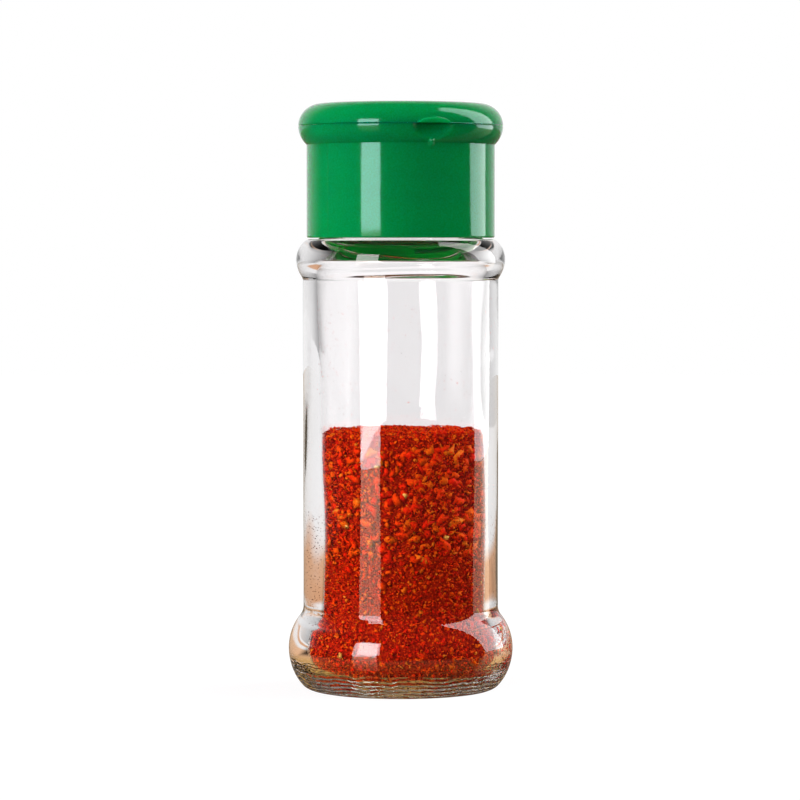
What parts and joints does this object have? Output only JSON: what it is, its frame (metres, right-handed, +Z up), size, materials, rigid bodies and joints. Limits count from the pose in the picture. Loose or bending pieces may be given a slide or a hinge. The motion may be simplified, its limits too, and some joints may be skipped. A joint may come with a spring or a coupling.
{
  "type": "spice jar",
  "caption": "Round clear glass spice jar of ground chilli with a green screw collar, a sifter deck and a hinged flip lid.",
  "frame": {"origin": "middle of the base, on the surface that the jar stands on", "axes": "+Z up along the jar's axis; -Y towards the lid's thumb lip and +Y towards its hinge"},
  "size_m": [0.045, 0.045, 0.1164],
  "materials": {
    "clear_glass": "clear, polished by the mould, slightly wavy",
    "ground_chilli": "dry ground chilli with flakes and pale seeds",
    "liner": "soft off-white foam liner",
    "green_plastic": "glossy moulded polypropylene"
  },
  "bodies": {
    "jar": {"jar_glass": "clear_glass", "spice_fill": "ground_chilli"},
    "liner": {"seal_washer": "liner"},
    "collar": {"screw_collar": "green_plastic", "living_hinge": "green_plastic"},
    "lid": {"flip_lid": "green_plastic"}
  },
  "joints": [
    {"name": "cap_rise", "type": "slide", "parent": "jar", "child": "liner", "axis": [0, 0, 1], "range_m": [0, 0.0084]},
    {"name": "cap_turn", "type": "hinge", "parent": "liner", "child": "collar", "pos_m": [0, 0, 0.09], "axis": [0, 0, 1], "range_deg": [0, 720]},
    {"name": "lid_flip", "type": "hinge", "parent": "collar", "child": "lid", "pos_m": [0, 0.02031, 0.112], "axis": [-1, 0, 0], "range_deg": [0, 180], "deforming": ["living_hinge"]}
  ],
  "couplings": [
    {"joint": "cap_rise", "follows": "cap_turn", "m_per_rad": 0.00066845}
  ]
}
